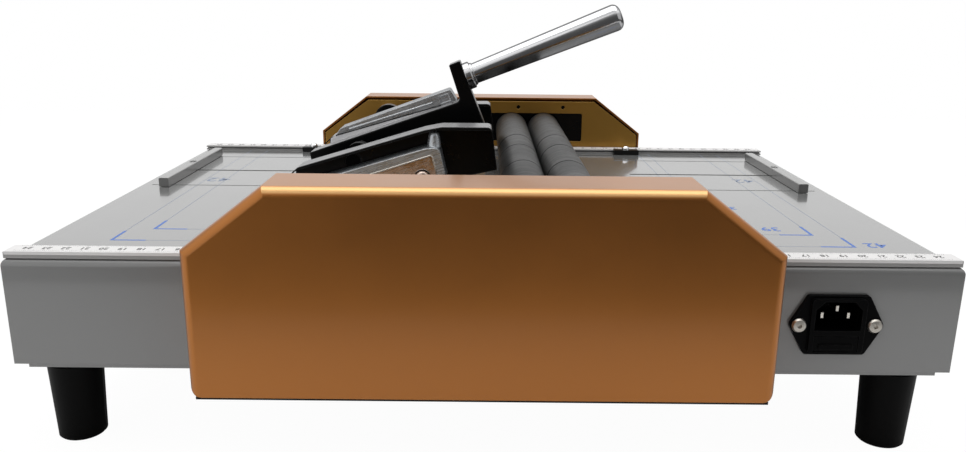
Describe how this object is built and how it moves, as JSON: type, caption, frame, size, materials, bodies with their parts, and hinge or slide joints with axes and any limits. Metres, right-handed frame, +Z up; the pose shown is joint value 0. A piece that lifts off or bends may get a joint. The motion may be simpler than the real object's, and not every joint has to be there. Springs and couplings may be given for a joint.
{
  "type": "booklet maker",
  "caption": "Flat-bed booklet maker: sliding paper stops and rulers on the table, hand lever that presses staplers, rubber folding rollers between slanted side covers, on tall feet.",
  "frame": {"origin": "on the floor under the middle of the machine, below the rulers' zero", "axes": "+X along the paper path to the right as seen from the mains inlet's side, +Y away from the inlet's side towards the operator, +Z up"},
  "size_m": [0.503, 0.422, 0.2424],
  "materials": {
    "grey_enamel": "satin grey enamel with a fine orange peel",
    "dark_plate": "dark zinc-coated steel plate",
    "black_rubber": "matt moulded black rubber",
    "steel": "machined steel with fine turning marks",
    "gold_plate": "satin gold-brown anodised look",
    "copper_cover": "satin copper metallic paint",
    "black_gloss": "glossy black paint",
    "rail_grey": "dark grey satin strip",
    "tape_white": "white printed ruler tape",
    "black_plastic": "moulded black plastic",
    "nickel": "nickel-plated steel",
    "roller_rubber": "ground dark grey rubber",
    "zinc": "bright zinc plating",
    "stop_grey": "satin grey paint",
    "motor_zinc": "dull zinc-plated motor can",
    "board_green": "green circuit board",
    "rocker_red": "dark red moulded plastic",
    "button_green": "green moulded plastic",
    "handle_chrome": "polished chrome",
    "shaft_black": "blackened steel"
  },
  "bodies": {
    "machine": {"body_shell": "grey_enamel", "base_plate": "grey_enamel", "feet": "black_rubber", "foot_screws": "steel", "near_side_plate": "gold_plate", "far_side_plate": "gold_plate", "near_cover": "copper_cover", "far_cover": "copper_cover", "cover_bases": "black_gloss", "near_bearing_plate": "black_gloss", "far_bearing_plate": "black_gloss", "roller_bearings": "steel", "near_ruler_rail": "rail_grey", "far_ruler_rail": "rail_grey", "ruler_tapes": "tape_white", "inlet_socket": "black_plastic", "inlet_pins": "nickel", "inlet_screws": "nickel", "near_bracket": "black_gloss", "far_bracket": "black_gloss", "lever_shaft": "shaft_black", "stapler_shaft": "shaft_black", "shaft_bosses": "black_gloss", "anvil_plates": "steel", "knife_guides": "steel", "knife_motor": "motor_zinc", "drive_motor": "motor_zinc", "idler_pin": "steel", "control_board": "board_green", "switch_frame": "black_plastic", "button_bezel": "nickel", "lever_spring": "shaft_black"},
    "lever": {"lever_arm": "black_gloss", "lever_channel": "zinc", "press_bar": "shaft_black", "handle_collar": "handle_chrome", "handle": "handle_chrome"},
    "near_stapler": {"near_stapler_cap": "zinc", "near_stapler_magazine": "zinc"},
    "far_stapler": {"far_stapler_cap": "zinc", "far_stapler_magazine": "zinc"},
    "left_roller": {"left_roller_shaft": "steel", "left_roller_rubber": "roller_rubber", "left_roller_gear": "steel"},
    "right_roller": {"right_roller_shaft": "steel", "right_roller_rubber": "roller_rubber", "right_roller_gear": "steel"},
    "idler": {"idler_gear": "steel"},
    "pinion": {"motor_pinion": "steel"},
    "cam": {"knife_cam": "steel"},
    "knife": {"knife_blade": "steel", "knife_carriage": "zinc"},
    "left_stop": {"left_stop": "stop_grey"},
    "right_stop": {"right_stop": "stop_grey"},
    "left_clamp": {"left_lay_clamp": "black_plastic"},
    "right_clamp": {"right_lay_clamp": "black_plastic"},
    "drawer": {"fuse_drawer": "black_plastic"},
    "rocker": {"switch_rocker": "rocker_red"},
    "button": {"start_button": "button_green"}
  },
  "joints": [
    {"name": "lever_press", "type": "hinge", "parent": "machine", "child": "lever", "pos_m": [-0.086, 0, 0.141], "axis": [0, 1, 0], "range_deg": [0, 18], "stiffness_Nm_per_rad": 1.5, "springref_deg": -34.38},
    {"name": "near_stapler_swing", "type": "hinge", "parent": "machine", "child": "near_stapler", "pos_m": [-0.112, -0.058, 0.125], "axis": [0, 1, 0], "range_deg": [0, 10.5]},
    {"name": "far_stapler_swing", "type": "hinge", "parent": "machine", "child": "far_stapler", "pos_m": [-0.112, 0.068, 0.125], "axis": [0, 1, 0], "range_deg": [0, 10.5]},
    {"name": "left_roller_spin", "type": "hinge", "parent": "machine", "child": "left_roller", "pos_m": [0.025, 0, 0.132], "axis": [0, 1, 0], "continuous": true},
    {"name": "right_roller_spin", "type": "hinge", "parent": "machine", "child": "right_roller", "pos_m": [0.054, 0, 0.132], "axis": [0, 1, 0], "continuous": true},
    {"name": "idler_spin", "type": "hinge", "parent": "machine", "child": "idler", "pos_m": [0.00633, 0.1875, 0.09833], "axis": [0, 1, 0], "continuous": true},
    {"name": "pinion_spin", "type": "hinge", "parent": "machine", "child": "pinion", "pos_m": [-0.01995, 0.18, 0.0819], "axis": [0, 1, 0], "continuous": true},
    {"name": "cam_turn", "type": "hinge", "parent": "machine", "child": "cam", "pos_m": [0.0395, 0, 0.077], "axis": [0, 1, 0], "range_deg": [0, 180]},
    {"name": "knife_lift", "type": "slide", "parent": "machine", "child": "knife", "axis": [0, 0, 1], "range_m": [0, 0.016]},
    {"name": "left_stop_slide", "type": "slide", "parent": "machine", "child": "left_stop", "axis": [1, 0, 0], "range_m": [-0.008, 0.095]},
    {"name": "right_stop_slide", "type": "slide", "parent": "machine", "child": "right_stop", "axis": [1, 0, 0], "range_m": [-0.095, 0.008]},
    {"name": "left_clamp_slide", "type": "slide", "parent": "machine", "child": "left_clamp", "axis": [1, 0, 0], "range_m": [-0.084, 0.1]},
    {"name": "right_clamp_slide", "type": "slide", "parent": "machine", "child": "right_clamp", "axis": [1, 0, 0], "range_m": [-0.04, 0.105]},
    {"name": "drawer_pull", "type": "slide", "parent": "machine", "child": "drawer", "axis": [0, -1, 0], "range_m": [0, 0.017]},
    {"name": "rocker_tip", "type": "hinge", "parent": "machine", "child": "rocker", "pos_m": [-0.19, 0.1695, 0.082], "axis": [0, 0, 1], "range_deg": [-18, 0]},
    {"name": "start_press", "type": "slide", "parent": "machine", "child": "button", "axis": [0, 1, 0], "range_m": [-0.003, 0], "stiffness_N_per_m": 300, "springref_m": 0.002}
  ],
  "couplings": [
    {"joint": "near_stapler_swing", "follows": "lever_press", "ratio": 0.5778},
    {"joint": "far_stapler_swing", "follows": "lever_press", "ratio": 0.5778},
    {"joint": "right_roller_spin", "follows": "left_roller_spin", "ratio": -1},
    {"joint": "idler_spin", "follows": "left_roller_spin", "ratio": -0.60417},
    {"joint": "pinion_spin", "follows": "left_roller_spin", "ratio": 2.0714},
    {"joint": "cam_turn", "follows": "knife_lift", "rad_per_m": 196.35}
  ]
}
